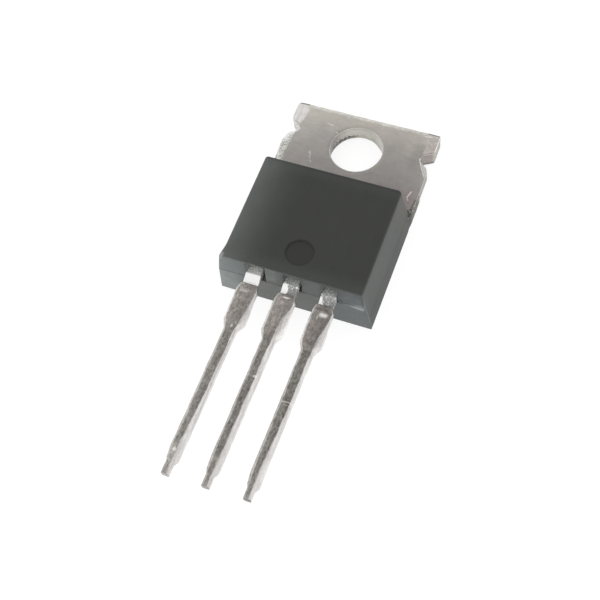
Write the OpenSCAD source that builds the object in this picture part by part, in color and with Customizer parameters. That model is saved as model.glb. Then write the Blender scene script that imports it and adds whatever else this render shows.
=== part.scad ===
// Power MOSFET in a through-hole, single-screw power package, lying on its back.
// Millimetres. The origin is the centre of the mounting hole on the mounting face,
// +X runs from the gate lead to the source lead, +Y from the leads to the tab's top
// edge, and +Z from the mounting face to the front of the case.

/* [Tab] */
// Width across the tab's ears and shoulders
tab_w = 10.41; // [10.30:0.01:10.60]
// Thickness of the copper plate
tab_t = 1.27; // [1.20:0.01:1.32]
// From the hole's centre to the tab's top edge
tab_top = 2.75; // [2.60:0.01:2.90]
// Diameter of the mounting hole
hole_d = 3.65; // [3.50:0.01:3.80]
// Width between the floors of the two edge notches
notch_w = 8.90; // [8.60:0.05:9.20]
// Radius of the tab's top corners
tab_corner_r = 0.18; // [0.05:0.01:0.40]

/* [Case] */
// Height of the case above the mounting face
case_h = 4.35; // [4.20:0.01:4.60]
// Width of the case at the mounting face
case_base_w = 10.38; // [10.30:0.01:10.40]
// Width of the case's front face
case_front_w = 9.40; // [9.20:0.01:9.60]
// From the hole's centre to the front face's tab edge
case_tab_edge = 4.17; // [4.00:0.01:4.30]
// From the hole's centre to the front face's lead edge
case_lead_edge = 12.16; // [12.00:0.01:12.30]
// Radius along the front face's edges
case_edge_r = 0.12; // [0.05:0.01:0.20]
// Diameter of the ejector-pin mark on the front face
ejector_d = 1.90; // [1.50:0.05:2.20]
// Depth of the ejector-pin mark
ejector_depth = 0.08; // [0.04:0.01:0.15]
// Width of the pocket that each lead leaves the case through
pocket_w = 1.33; // [1.20:0.01:1.45]

/* [Leads] */
// Distance between neighbouring leads
lead_pitch = 2.54; // [2.50:0.01:2.58]
// Thickness of the leads
lead_t = 0.50; // [0.40:0.01:0.55]
// Height of the leads' underside above the mounting face
lead_z = 2.87; // [2.70:0.01:2.95]
// Width of a lead's neck where it leaves the case
neck_w = 1.03; // [0.90:0.01:1.10]
// Width of a lead's wide part
wide_w = 1.40; // [1.20:0.01:1.50]
// Width of a lead's narrow part
narrow_w = 0.86; // [0.70:0.01:0.90]
// Width of the lead's cut tip
tip_w = 0.50; // [0.40:0.01:0.60]
// From the hole's centre to the tips of the leads
lead_end = 26.25; // [25.60:0.05:26.60]

/* [Inside the case] */
// Width of the plate inside the case
pad_w = 8.40; // [8.20:0.05:8.80]
// Width of the gate and source posts
post_w = 2.00; // [1.80:0.05:2.20]
// Length of the gate and source posts
post_l = 1.40; // [1.30:0.05:1.50]
// Size of the silicon die across the case
die_x = 4.40; // [4.00:0.05:4.60]
// Size of the silicon die along the case
die_y = 3.60; // [3.30:0.05:3.70]
// Thickness of the silicon die
die_t = 0.25; // [0.20:0.01:0.30]
// Thickness of the solder under the die
solder_t = 0.05; // [0.03:0.01:0.08]
// Diameter of the gate wire
gate_wire_d = 0.18; // [0.15:0.01:0.22]
// Diameter of each source wire
source_wire_d = 0.38; // [0.30:0.01:0.40]

/* [Hidden] */
eps = 0.5;                       // how far cutting tools run past a face
part_y = case_lead_edge + 0.18;  // the parting line stands out on the lead end
pad_end = 9.74;                  // far end of the plate inside the case
step_y = 4.40;                   // where the plate narrows, inside the case
post_y = 10.20;                  // near end of the posts
die_cy = -6.90;                  // centre of the die
die_z = tab_t + solder_t;        // underside of the die
die_top = die_z + die_t;
lead_top = lead_z + lead_t;

// ---- plane geometry -------------------------------------------------------

function unit(v) = v / norm(v);
function wrap(a) = a > 180 ? a - 360 : a < -180 ? a + 360 : a;

// The points of one corner, rounded to radius r with n steps.
function corner(a, b, c, r, n) =
    r <= 0 ? [b] :
    let (u = unit(a - b), v = unit(c - b), half = acos(u * v) / 2,
         m = b + unit(u + v) * r / sin(half),
         p = b + u * r / tan(half) - m, q = b + v * r / tan(half) - m,
         a0 = atan2(p[1], p[0]), da = wrap(atan2(q[1], q[0]) - a0))
    [for (i = [0 : n]) m + r * [cos(a0 + da * i / n), sin(a0 + da * i / n)]];

// A closed outline of [x, y, radius] corners as plain points.
function outline(c, n = 5) =
    let (k = len(c), p = [for (q = c) [q[0], q[1]]])
    [for (i = [0 : k - 1])
        each corner(p[(i + k - 1) % k], p[i], p[(i + 1) % k], c[i][2], n)];

// One half of a symmetric outline and its mirror image, as one loop.
function both_sides(c) =
    concat(c, [for (i = [len(c) - 1 : -1 : 0]) [-c[i][0], c[i][1], c[i][2]]]);

// Extrude a Y-Z profile across the width w, centred on x = 0.
module across(w) {
    translate([-w / 2, 0, 0]) rotate([90, 0, 90]) linear_extrude(height = w) children();
}

// Extrude an X-Z profile from y0 to y1, where y1 is the greater.
module along(y0, y1) {
    translate([0, y1, 0]) rotate([90, 0, 0]) linear_extrude(height = y1 - y0) children();
}

// ---- leadframe ------------------------------------------------------------

// Plan of the plate: two ears, a notch each side, the shoulders, the pad.
module plate_plan() {
    half = tab_w / 2;
    nx = notch_w / 2;
    polygon(outline(both_sides([
        [half, tab_top, tab_corner_r],
        [half, 1.26, 0.06],
        [nx + 0.15, 0.93, 0.08],
        [nx, 0.70, 0.10],
        [nx, 0.22, 0.06],
        [nx + 0.17, 0.20, 0.04],
        [half - 0.20, -0.03, 0.20],
        [half, -0.33, 0.20],
        [half, -step_y, 0],
        [pad_w / 2, -step_y, 0.15],
        [pad_w / 2, -pad_end, 0.20]
    ])));
}

// Plan of one lead, running from y = -from to its tip.
module lead_plan(from) {
    polygon(outline(both_sides([
        [neck_w / 2, -from, 0],
        [neck_w / 2, -12.93, 0.10],
        [wide_w / 2, -13.45, 0.15],
        [wide_w / 2, -15.90, 0.15],
        [narrow_w / 2, -16.35, 0.20],
        [narrow_w / 2, -(lead_end - 1.07), 0.08],
        [tip_w / 2, -(lead_end - 0.78), 0.05],
        [tip_w / 2, -lead_end, 0.05]
    ])));
}

module lead_bar(x, from) {
    translate([x, 0, lead_z]) linear_extrude(height = lead_t) lead_plan(from);
}

// A lead that ends inside the case in a post for its bond wires. sx is the
// side that the post leans to.
module posted_lead(x, sx) {
    union() {
        lead_bar(x, post_y + post_l - 0.3);
        translate([x + sx * 0.05, -post_y - post_l / 2, lead_z])
            linear_extrude(height = lead_t)
                polygon(outline([
                    [post_w / 2, post_l / 2, 0.15], [-post_w / 2, post_l / 2, 0.15],
                    [-post_w / 2, -post_l / 2, 0.15], [post_w / 2, -post_l / 2, 0.15]]));
    }
}

// The web climbs from the plate's back edge to the plane of the leads, one
// lead thickness thick all the way.
module web_profile() {
    rise = lead_z - (tab_t - lead_t);
    run = 1.36;
    d = unit([-run, rise]);
    o = [d[1], -d[0]] * lead_t;          // across the web, towards the tab
    a = [-pad_end, tab_t - lead_t];
    b = a + [-run, rise];
    up = a + o;
    polygon([
        a, b, [b[0] - 0.4, lead_z], [b[0] - 0.4, lead_top],
        up + d * (lead_top - up[1]) / d[1],
        up + d * (tab_t - up[1]) / d[1],
        [-pad_end + 0.6, tab_t], [-pad_end + 0.6, tab_t - lead_t]
    ]);
}

module drain_leadframe() {
    color([0.72, 0.71, 0.70])
    difference() {
        union() {
            linear_extrude(height = tab_t) plate_plan();
            across(neck_w + 0.3) web_profile();
            lead_bar(0, pad_end + 1.6);
        }
        translate([0, 0, -eps]) cylinder(d = hole_d, h = tab_t + 2 * eps, $fn = 96);
    }
}

module gate_lead() {
    color([0.74, 0.73, 0.71]) posted_lead(-lead_pitch, -1);
}

module source_lead() {
    color([0.74, 0.73, 0.71]) posted_lead(lead_pitch, 1);
}

// ---- die ------------------------------------------------------------------

module block(x, y, z0, t) {
    translate([-x / 2, die_cy - y / 2, z0]) cube([x, y, t]);
}

module die_attach_solder() {
    color([0.55, 0.56, 0.58]) block(die_x + 0.3, die_y + 0.3, tab_t, solder_t);
}

module silicon_die() {
    color([0.30, 0.32, 0.38]) block(die_x, die_y, die_z, die_t);
}

// ---- bond wires -----------------------------------------------------------

// Each wire lies in one upright plane. Along the way it is described by how
// far it has run, as a share of the distance between its two feet, and by
// how far it has climbed, as a share of the rise between them. These are
// round figures for a wedge-bonded loop.
WIRE_ROUTE = [
    [-0.16, 0.00], [-0.08, 0.00], [0.00, 0.00], [0.04, 0.06], [0.09, 0.22],
    [0.16, 0.48], [0.24, 0.74], [0.34, 0.97], [0.45, 1.12], [0.56, 1.19],
    [0.67, 1.20], [0.78, 1.16], [0.87, 1.08], [0.94, 1.02], [1.00, 1.00],
    [1.06, 1.00], [1.12, 1.00]];

// Points of the route from foot a on the die to foot b on a post, both [x, y].
function route(a, b, z0, z1) = [
    for (q = WIRE_ROUTE) [
        a[0] + (b[0] - a[0]) * q[0],
        a[1] + (b[1] - a[1]) * q[0],
        z0 + (z1 - z0) * q[1]]];

// A round tube of n sides along points p that lie in one upright plane.
module tube(p, r, n = 8) {
    k = len(p);
    s = unit([p[k-1][1] - p[0][1], p[0][0] - p[k-1][0], 0]);
    rings = [for (i = [0 : k - 1])
        let (t = unit(p[min(i + 1, k - 1)] - p[max(i - 1, 0)]), u = cross(s, t))
        [for (j = [0 : n - 1]) let (g = 360 * (j + 0.5) / n)
            p[i] + r * (cos(g) * s + sin(g) * u)]];
    polyhedron(
        points = [for (q = rings) each q],
        faces = concat(
            [[for (j = [n - 1 : -1 : 0]) j]],
            [for (i = [0 : k - 2]) for (j = [0 : n - 1])
                [i * n + (j + 1) % n, (i + 1) * n + (j + 1) % n, (i + 1) * n + j, i * n + j]],
            [[for (j = [0 : n - 1]) (k - 1) * n + j]]),
        convexity = 4);
}

// A wire whose two feet are pressed flat on the die and on the post.
module bond_wire(a, b, d) {
    lift = 0.36 * d;   // the wire's centre stands this high over each seat
    intersection() {
        tube(route(a, b, die_top + lift, lead_top + lift), d / 2);
        union() {
            translate([-6, -10, die_top]) cube([12, 6, 4]);
            translate([-6, -13, lead_top]) cube([12, 3, 3]);
        }
    }
}

module gate_bond_wire() {
    color([0.80, 0.80, 0.82]) bond_wire([-1.35, -7.95], [-2.55, -10.85], gate_wire_d);
}

module source_bond_wire_1() {
    color([0.80, 0.80, 0.82]) bond_wire([0.35, -7.60], [2.10, -10.80], source_wire_d);
}

module source_bond_wire_2() {
    color([0.80, 0.80, 0.82]) bond_wire([1.35, -7.60], [3.00, -10.80], source_wire_d);
}

// ---- case -----------------------------------------------------------------

module case_body() {
    intersection() {
        along(-14, -2) polygon(outline([
            [case_base_w / 2, 0, 0],
            [case_front_w / 2, case_h, case_edge_r],
            [-case_front_w / 2, case_h, case_edge_r],
            [-case_base_w / 2, 0, 0]]));
        across(12) polygon(outline([
            [-case_lead_edge - 0.01, 0, 0],
            [-part_y, lead_z, 0],
            [-case_lead_edge, case_h, case_edge_r],
            [-case_tab_edge, case_h, case_edge_r],
            [-case_tab_edge + 0.37, tab_t, 0],
            [-case_tab_edge + 0.37, 0, 0]]));
    }
}

// The pocket round a lead's neck, above the parting line.
module pocket(x) {
    translate([x, 0, 0]) across(pocket_w) polygon([
        [-part_y - eps, lead_z], [-case_lead_edge + 0.41, lead_z],
        [-case_lead_edge + 0.41, lead_top], [-case_lead_edge + 0.02, case_h - 0.07],
        [-part_y - eps, case_h - 0.07]]);
}

module moulded_case() {
    color([0.20, 0.20, 0.21])
    difference() {
        case_body();
        for (i = [-1 : 1]) pocket(i * lead_pitch);
        translate([0, -10.46, case_h - ejector_depth])
            cylinder(d = ejector_d, h = 1, $fn = 64);
        drain_leadframe();
        gate_lead();
        source_lead();
        die_attach_solder();
        silicon_die();
        gate_bond_wire();
        source_bond_wire_1();
        source_bond_wire_2();
    }
}

moulded_case();
drain_leadframe();
gate_lead();
source_lead();
silicon_die();
die_attach_solder();
gate_bond_wire();
source_bond_wire_1();
source_bond_wire_2();
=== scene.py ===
import bpy
import math
import numpy as np
from mathutils import Matrix, Vector


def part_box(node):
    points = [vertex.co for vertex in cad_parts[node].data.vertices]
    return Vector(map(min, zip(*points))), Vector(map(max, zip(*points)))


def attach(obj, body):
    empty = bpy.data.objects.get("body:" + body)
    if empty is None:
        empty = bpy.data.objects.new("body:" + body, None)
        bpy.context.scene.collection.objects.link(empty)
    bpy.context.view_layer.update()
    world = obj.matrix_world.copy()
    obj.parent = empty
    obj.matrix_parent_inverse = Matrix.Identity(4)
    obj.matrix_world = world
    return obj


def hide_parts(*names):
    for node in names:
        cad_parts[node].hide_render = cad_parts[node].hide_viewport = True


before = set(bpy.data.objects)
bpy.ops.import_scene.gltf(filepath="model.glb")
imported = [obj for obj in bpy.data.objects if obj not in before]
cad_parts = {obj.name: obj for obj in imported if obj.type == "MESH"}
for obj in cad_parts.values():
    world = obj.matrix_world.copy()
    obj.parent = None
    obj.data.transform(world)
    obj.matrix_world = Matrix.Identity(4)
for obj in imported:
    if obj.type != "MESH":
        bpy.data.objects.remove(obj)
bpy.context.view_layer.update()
scene = bpy.context.scene
MM = 0.001

# ---------------------------------------------------------------------------
# places, in millimetres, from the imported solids
# ---------------------------------------------------------------------------


def mm_box(node):
    lo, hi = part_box(node)
    return np.array(lo) / MM, np.array(hi) / MM


C_LO, C_HI = mm_box("moulded_case")
F_LO, F_HI = mm_box("drain_leadframe")
G_LO, G_HI = mm_box("gate_lead")
S_LO, S_HI = mm_box("source_lead")
CASE_H = C_HI[2]                 # 4.35
CASE_BX = C_HI[0]                # 5.19
CASE_TX = CASE_BX - 0.49         # 4.70
PART_Y = C_LO[1]                 # -12.34
TAB_X = F_HI[0]                  # 5.205
TAB_TOP = F_HI[1]                # 2.75
TAB_T = 1.27
TIP_Y = F_LO[1]                  # -26.25
LEAD_Z0, LEAD_Z1 = G_LO[2], G_HI[2]   # 2.87, 3.37
PITCH = 2.54
HOLE_R = 1.825

# ---------------------------------------------------------------------------
# camera first
# ---------------------------------------------------------------------------


def make_camera():
    az, el, roll = (math.radians(v) for v in (29.673, 61.902, -10.456))
    back = np.array([math.sin(az) * math.cos(el), -math.cos(az) * math.cos(el), math.sin(el)])
    right = np.cross(-back, [0, 0, 1.0])
    right /= np.linalg.norm(right)
    up = np.cross(right, -back)
    R = right * math.cos(roll) + up * math.sin(roll)
    U = -right * math.sin(roll) + up * math.cos(roll)
    dist, focal = 76.636, 1122.827
    # the object's origin line sits off the middle of the frame by this much
    ox = (355.404 + 0.5 - 300) / focal * dist
    oy = -(142.863 + 0.5 - 300) / focal * dist
    eye = np.array([0, 0, 2.0]) + back * dist - R * ox - U * oy
    data = bpy.data.cameras.new("camera")
    data.sensor_fit = "HORIZONTAL"
    data.sensor_width = 36.0
    data.lens = focal / 600 * 36.0
    data.clip_start, data.clip_end = 0.001, 10.0
    cam = bpy.data.objects.new("camera", data)
    scene.collection.objects.link(cam)
    m = Matrix.Identity(4)
    for i in range(3):
        m[i][0], m[i][1], m[i][2], m[i][3] = R[i], U[i], back[i], eye[i] * MM
    cam.matrix_world = m
    scene.camera = cam


make_camera()

# ---------------------------------------------------------------------------
# numpy helpers
# ---------------------------------------------------------------------------


def smooth(t):
    t = np.clip(t, 0.0, 1.0)
    return t * t * (3 - 2 * t)


def rmax(a, b, r):
    """The larger of two distances, with the convex edge between them rounded."""
    return np.minimum(np.maximum(a + r, b + r), 0) + np.hypot(np.maximum(a + r, 0), np.maximum(b + r, 0)) - r


def rmin(a, b, r):
    return -rmax(-a, -b, r)


def smin(a, b, k):
    h = np.clip(0.5 + 0.5 * (b - a) / k, 0, 1)
    return b + (a - b) * h - k * h * (1 - h)


def _hash(ix, iy, iz, seed):
    n = (ix * 73856093) ^ (iy * 19349663) ^ (iz * 83492791) ^ (seed * 2654435761)
    n = (n ^ (n >> 13)) & 0x7FFFFFFF
    n = (n * 1274126177) & 0x7FFFFFFF
    n = (n ^ (n >> 16)) & 0x7FFFFFFF
    return (n % 65536) / 65535.0


def noise(x, y, z, seed=0):
    """Smooth value noise from -1 to 1, one lump per unit."""
    x, y, z = np.broadcast_arrays(np.asarray(x, float), np.asarray(y, float), np.asarray(z, float))
    ix, iy, iz = (np.floor(v).astype(np.int64) for v in (x, y, z))
    fx, fy, fz = smooth(x - ix), smooth(y - iy), smooth(z - iz)
    out = 0
    for dx in (0, 1):
        wx = fx if dx else 1 - fx
        for dy in (0, 1):
            wy = fy if dy else 1 - fy
            for dz in (0, 1):
                wz = fz if dz else 1 - fz
                out = out + wx * wy * wz * _hash(ix + dx, iy + dy, iz + dz, seed)
    return out * 2 - 1


def fractal(x, y, z, seed=0, octaves=3):
    out, amp, tot = 0, 1.0, 0.0
    for o in range(octaves):
        k = 2.0 ** o
        out = out + amp * noise(x * k, y * k, z * k, seed + 17 * o)
        tot += amp
        amp *= 0.5
    return out / tot


def lines(*spans):
    """Grid lines from (start, end, step) spans that follow each other."""
    out = []
    for a, b, h in spans:
        n = max(1, int(round((b - a) / h)))
        out += list(a + (b - a) * np.arange(n) / n)
    out.append(spans[-1][1])
    return np.array(out)


# ---------------------------------------------------------------------------
# a closed surface from a signed distance on a grid of uneven lines
# ---------------------------------------------------------------------------


def nets(f, xs, ys, zs, polish=2):
    axes = (xs, ys, zs)
    V = np.broadcast_to(f(xs[:, None, None], ys[None, :, None], zs[None, None, :]),
                        (len(xs), len(ys), len(zs)))
    inside = V < 0
    n = V.shape
    quads, owners, points = [], [], []
    for ax in range(3):
        a1, a2 = (ax + 1) % 3, (ax + 2) % 3
        lo = [slice(None)] * 3
        hi = [slice(None)] * 3
        lo[ax], hi[ax] = slice(0, n[ax] - 1), slice(1, n[ax])
        idx = np.argwhere(inside[tuple(lo)] != inside[tuple(hi)])
        up = idx.copy()
        up[:, ax] += 1
        v0 = V[idx[:, 0], idx[:, 1], idx[:, 2]]
        v1 = V[up[:, 0], up[:, 1], up[:, 2]]
        t = v0 / (v0 - v1)
        p = np.stack([axes[i][idx[:, i]] for i in range(3)], 1)
        p[:, ax] += t * (axes[ax][up[:, ax]] - axes[ax][idx[:, ax]])
        ring = []
        for d1, d2 in ((-1, -1), (0, -1), (0, 0), (-1, 0)):
            c = idx.copy()
            c[:, a1] += d1
            c[:, a2] += d2
            ident = (c[:, 0] * n[1] + c[:, 1]) * n[2] + c[:, 2]
            ring.append(ident)
            owners.append(ident)
            points.append(p)
        q = np.stack(ring, 1)
        flip = v0 > 0
        q[flip] = q[flip][:, ::-1]
        quads.append(q)
    owners = np.concatenate(owners)
    points = np.concatenate(points)
    quads = np.concatenate(quads)
    ids, inv = np.unique(owners, return_inverse=True)
    count = np.bincount(inv)
    verts = np.stack([np.bincount(inv, points[:, i]) / count for i in range(3)], 1)
    quads = np.searchsorted(ids, quads)
    ci = np.stack([ids // (n[1] * n[2]), (ids // n[2]) % n[1], ids % n[2]], 1)
    cell = np.stack([np.minimum(axes[i][np.clip(ci[:, i] + 1, 0, n[i] - 1)] - axes[i][ci[:, i]], 9) for i in range(3)], 1)
    size = np.maximum(cell.min(1), 0)
    for _ in range(polish):
        g = gradient(f, verts)
        gg = np.maximum((g * g).sum(1), 1e-6)
        step = -(f(verts[:, 0], verts[:, 1], verts[:, 2]) / gg)[:, None] * g
        far = np.linalg.norm(step, axis=1)
        step *= np.minimum(1, 0.3 * size / np.maximum(far, 1e-9))[:, None]
        verts = verts + step
    return verts, quads


def gradient(f, p, h=2e-3):
    g = np.empty_like(p)
    for i in range(3):
        a, b = p.copy(), p.copy()
        a[:, i] += h
        b[:, i] -= h
        g[:, i] = (f(a[:, 0], a[:, 1], a[:, 2]) - f(b[:, 0], b[:, 1], b[:, 2])) / (2 * h)
    return g


def make_mesh(name, verts, quads, f=None, masks=None):
    me = bpy.data.meshes.new(name)
    me.vertices.add(len(verts))
    me.vertices.foreach_set("co", (verts * MM).astype(np.float32).ravel())
    me.loops.add(quads.size)
    me.loops.foreach_set("vertex_index", quads.astype(np.int32).ravel())
    me.polygons.add(len(quads))
    me.polygons.foreach_set("loop_start", np.arange(0, quads.size, 4, dtype=np.int32))
    me.polygons.foreach_set("loop_total", np.full(len(quads), 4, np.int32))
    me.update(calc_edges=True)
    me.validate()
    me.polygons.foreach_set("use_smooth", np.ones(len(me.polygons), bool))
    for key, values in (masks or {}).items():
        att = me.attributes.new(key, "FLOAT", "POINT")
        att.data.foreach_set("value", np.clip(values, 0, 1).astype(np.float32))
    ob = bpy.data.objects.new(name, me)
    scene.collection.objects.link(ob)
    return ob

# ---------------------------------------------------------------------------
# the moulded case
# ---------------------------------------------------------------------------
LEADS_X = (-PITCH, 0.0, PITCH)
PAD_X, PAD_END, STEP_Y = 4.2, -9.74, -4.4
EJ_Y, EJ_R = -10.46, 0.95
# how far each pocket is open to the left and right of its lead; resin closes the rest,
# and the last number says whether a painted dark shade line stays at the neck's left
POCKET_OPEN = ((0.560, 0.795, 0.0), (0.600, 0.725, 1.0), (0.570, 0.560, 0.0))


def case_f(x, y, z):
    # the left wall stands out a little at the lead end
    flare = 0.13 * (x < 0) * smooth((-11.0 - y) / 1.15) ** 1.3
    side = (np.abs(x) - CASE_BX - flare + (CASE_BX - CASE_TX) / CASE_H * z) / 1.0063
    upper = (-(y - PART_Y) + 0.1216 * (z - LEAD_Z0)) / 1.0074
    lower = (-(y - PART_Y) - 0.0592 * (z - LEAD_Z0)) / 1.0018
    # the two mould halves meet in a fine line, and a thin fin stands out at one corner
    groove = 0.035 * np.exp(-((z - LEAD_Z0) / 0.035) ** 2) * (0.6 + 0.4 * noise(x * 2.3, 0, 0, 5))
    fin = 0.07 * np.exp(-((z - LEAD_Z0 - 0.03) / 0.045) ** 2) * smooth((x - 3.75) / 0.35) * smooth((5.0 - x) / 0.12)
    front = np.maximum(upper, lower) + groove - fin
    back = ((y + 4.17) + 0.1201 * (z - CASE_H)) / 1.0072
    walls = rmax(side, front, 0.06)
    walls = rmax(walls, back, np.where(x > 0, 0.30, 0.19))
    lip = 0.012 * np.exp(-(np.abs(z - TAB_T) / 0.03) ** 2)      # step where the lower mould half meets the side
    walls = walls + lip * (np.abs(x) > 4.9)
    top = z - CASE_H + 0.006 * noise(x * 0.35, y * 0.35, 0, 3) * smooth((CASE_H + 0.3 - z) / 0.6)
    d = rmax(walls, top, 0.13)
    d = rmax(d, -z, 0.03)
    # ejector-pin mark
    rr = np.hypot(x, y - EJ_Y)
    pin = rmax(rr - EJ_R, CASE_H - 0.075 - z, 0.01)
    d = -smin(-d, pin, 0.012)
    # pockets round the necks, a little chipped along their upper edge
    for i, x0 in enumerate(LEADS_X):
        chip = 0.035 * noise(x * 6.0, z * 5.0, i * 7.0, 11) + 0.02 * noise(x * 15.0, z * 11.0, i, 12)
        yb = -11.75 - 0.39 * np.clip((z - LEAD_Z1) / 0.91, 0, 1) + chip * smooth((z - 3.2) / 0.3)
        left, right, level = POCKET_OPEN[i]
        flush = PART_Y + 0.1216 * (z - LEAD_Z0) + 0.02
        yb = yb + (flush - yb) * smooth((x0 - 0.38 - 0.04 * level - x) / 0.09)
        wall = np.where(x > x0, right, left) + 0.012 * noise(y * 4.0, z * 4.0, i * 5.0, 21)
        p = np.maximum(np.abs(x - x0) - wall, (LEAD_Z0 - 0.03) - z)
        p = np.maximum(p, y - yb)
        d = -smin(-d, p, 0.02)
    # the pad lies in the back face, and the plate's shoulders fill the tab end
    pad = np.maximum(np.maximum(np.abs(x) - PAD_X, PAD_END - y), z - TAB_T)
    shoulder = np.maximum(STEP_Y - y, z - TAB_T)
    d = np.maximum(d, -np.minimum(pad, shoulder))
    return d


def flash_f(x, y, z):
    """Thin resin that crept out of the mould over the plate's right shoulder."""
    n = fractal(x * 5.5, y * 4.0, z * 5.5, 141, 2)
    far = smooth((-2.62 + 0.30 * noise(x * 4.0, 0, 0, 142) - y) / 0.45)
    inner = smooth((x - 4.82 + 0.16 * noise(y * 3.5, 0, 0, 143)) / 0.12)
    film = z - (TAB_T - 0.075 + (0.085 + 0.045 * n) * far * inner)
    # it thins out until it is level with the case's wall
    wall = CASE_BX - (CASE_BX - CASE_TX) / CASE_H * z
    end = smooth((-3.80 - y) / 0.50)
    film = np.maximum(np.maximum(film, TAB_T - 0.06 - z), np.maximum(4.60 - x, x - TAB_X + 0.02 + (TAB_X - 0.01 - wall) * end))
    run = smooth((-1.95 + 0.20 * noise(z * 4.0, 0, 0, 144) - y) / 0.40)
    outer = TAB_X - 0.055 + (0.062 + 0.025 * n) * run
    skin = x - outer - (wall + 0.006 - outer) * end
    skin = np.maximum(np.maximum(skin, TAB_X - 0.045 - 0.13 * end - x), np.maximum(0.10 - z, z - TAB_T + 0.02 - 0.05 * n))
    return np.maximum(np.minimum(film, skin), -4.46 - y)


def build_case():
    xs = lines((-5.44, -4.60, 0.05), (-4.60, -4.25, 0.09), (-4.25, -4.15, 0.05), (-4.15, -3.30, 0.14),
               (-3.30, -3.10, 0.04), (-3.10, -1.98, 0.08), (-1.98, -1.78, 0.04), (-1.78, -1.05, 0.10),
               (-1.05, -0.60, 0.045), (-0.60, 0.60, 0.08), (0.60, 1.05, 0.045), (1.05, 1.78, 0.10),
               (1.78, 1.98, 0.04), (1.98, 3.10, 0.08), (3.10, 3.30, 0.04), (3.30, 4.15, 0.12),
               (4.15, 4.25, 0.05), (4.25, 4.60, 0.09), (4.60, 5.26, 0.045))
    ys = lines((-12.46, -12.16, 0.025), (-12.16, -11.98, 0.035), (-11.98, -11.65, 0.05), (-11.65, -11.46, 0.09),
               (-11.46, -9.46, 0.05), (-9.46, -4.50, 0.20), (-4.50, -4.30, 0.05), (-4.30, -3.95, 0.04),
               (-3.95, -3.70, 0.04))
    zs = lines((-0.05, 0.09, 0.02), (0.09, 1.17, 0.12), (1.17, 1.37, 0.025), (1.37, 2.74, 0.12),
               (2.74, 3.02, 0.02), (3.02, 3.30, 0.05), (3.30, 3.44, 0.035), (3.44, 4.16, 0.06),
               (4.16, 4.44, 0.025))
    v, q = nets(case_f, xs, ys, zs)
    crumbs, cq = nets(flash_f, lines((4.52, 5.32, 0.02)), lines((-4.54, -1.60, 0.03)),
                      lines((0.0, 1.14, 0.04), (1.14, 1.40, 0.018)), 1)
    n = len(v)
    v, q = np.vstack([v, crumbs]), np.vstack([q, cq + n])
    x, y, z = v.T
    rr = np.hypot(x, y - EJ_Y)
    near = np.zeros(len(v))
    inner = np.zeros(len(v))
    crown_light = np.zeros(len(v))
    for x0, (left, right, level) in zip(LEADS_X, POCKET_OPEN):
        wide = np.where(x > x0, right, left)
        near = np.maximum(near, smooth((wide + 0.03 - np.abs(x - x0)) / 0.05))
        inner = np.maximum(inner, smooth((wide + 0.03 - np.abs(x - x0)) / 0.03) * smooth((x0 - 0.50 - x) / 0.04) * (1 - level))
        crown_light = np.maximum(crown_light, smooth((0.50 - np.abs(x - x0)) / 0.08) * (1.0 if x0 < -1 else 0.6))
    inner = inner * smooth((y + 12.26 - 0.1216 * (z - LEAD_Z0)) / 0.05)
    along = np.abs(np.abs(x) - CASE_BX + (CASE_BX - CASE_TX) / CASE_H * z) + np.abs(y - PART_Y - 0.1216 * np.maximum(z - LEAD_Z0, 0) + 0.0592 * np.minimum(z - LEAD_Z0, 0))
    masks = {
        "pinmark": smooth((EJ_R + 0.01 - rr) / 0.04) * (z > CASE_H - 0.2),
        "pin_rim_shade": np.exp(-((rr - EJ_R + 0.05) / 0.07) ** 2) * smooth((y - EJ_Y - 0.4 * x + 0.5) / 0.9) * (z > CASE_H - 0.2),
        "front": smooth((-11.95 - y) / 0.08) * smooth((CASE_H - 0.02 - z) / 0.06),
        "flash": (np.arange(len(v)) >= n).astype(float),
        "pocket": near * smooth((z - LEAD_Z0 + 0.05) / 0.05) * smooth((-11.6 - y) / 0.1) * smooth((CASE_H - 0.03 - z) / 0.05),
        "seam": np.exp(-((z - LEAD_Z0 - 0.14 * smooth((x - 3.1) / 0.6) - 0.02 * noise(x * 1.4, 0, 0, 6)) / 0.045) ** 2) * smooth((-12.1 - y) / 0.1),
        "crown_light": crown_light * smooth((z - LEAD_Z1 + 0.05) / 0.05) * smooth((4.15 - z) / 0.15),
        "slit_shade": inner * smooth((z - LEAD_Z0 - 0.1) / 0.1) * smooth((-11.6 - y) / 0.1) * smooth((CASE_H - 0.03 - z) / 0.05),
        "fin_highlight": np.exp(-((z - LEAD_Z0 - 0.06) / (0.05 + 0.15 * smooth((x - 3.6) / 1.0))) ** 2) * smooth((-12.1 - y) / 0.1)
        * np.clip((x - 3.35) / 0.95, 0, 1) * smooth((4.88 - x) / 0.07),
        "corner": np.exp(-(along / 0.13) ** 2) * (x > 0) * smooth((CASE_H - 0.1 - z) / 0.2),
    }
    ob = make_mesh("moulded_case_shell", v, q, case_f, masks)
    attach(ob, "root")
    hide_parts("moulded_case")
    return ob


# ---------------------------------------------------------------------------
# leads: flat stamped bars with a neck, shoulders, a wide part, a crowned
# narrow part and a cut tip; s runs from the hole towards the tip
# ---------------------------------------------------------------------------
W_S = [10.0, 12.93, 13.08, 13.42, 15.72, 16.30, 25.20, 25.50, 26.4]
W_V = [0.515, 0.515, 0.575, 0.705, 0.700, 0.428, 0.424, 0.252, 0.24]
# where the flat top ends and the worn edge begins on the left
L_S = [10.0, 12.93, 13.45, 15.60, 15.95, 16.40, 24.90, 25.50, 26.4]
L_V = [0.465, 0.465, 0.560, 0.550, 0.425, 0.270, 0.235, 0.150, 0.14]
R_S = [10.0, 12.93, 13.45, 13.95, 14.70, 15.50, 16.40, 18.0, 20.5, 23.0, 24.6, 25.5, 26.4]
D_S = [10.0, 13.0, 14.5, 15.9, 16.5, 25.2, 25.7, 26.4]
D_V = [0.045, 0.045, 0.075, 0.15, 0.19, 0.18, 0.10, 0.07]

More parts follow.
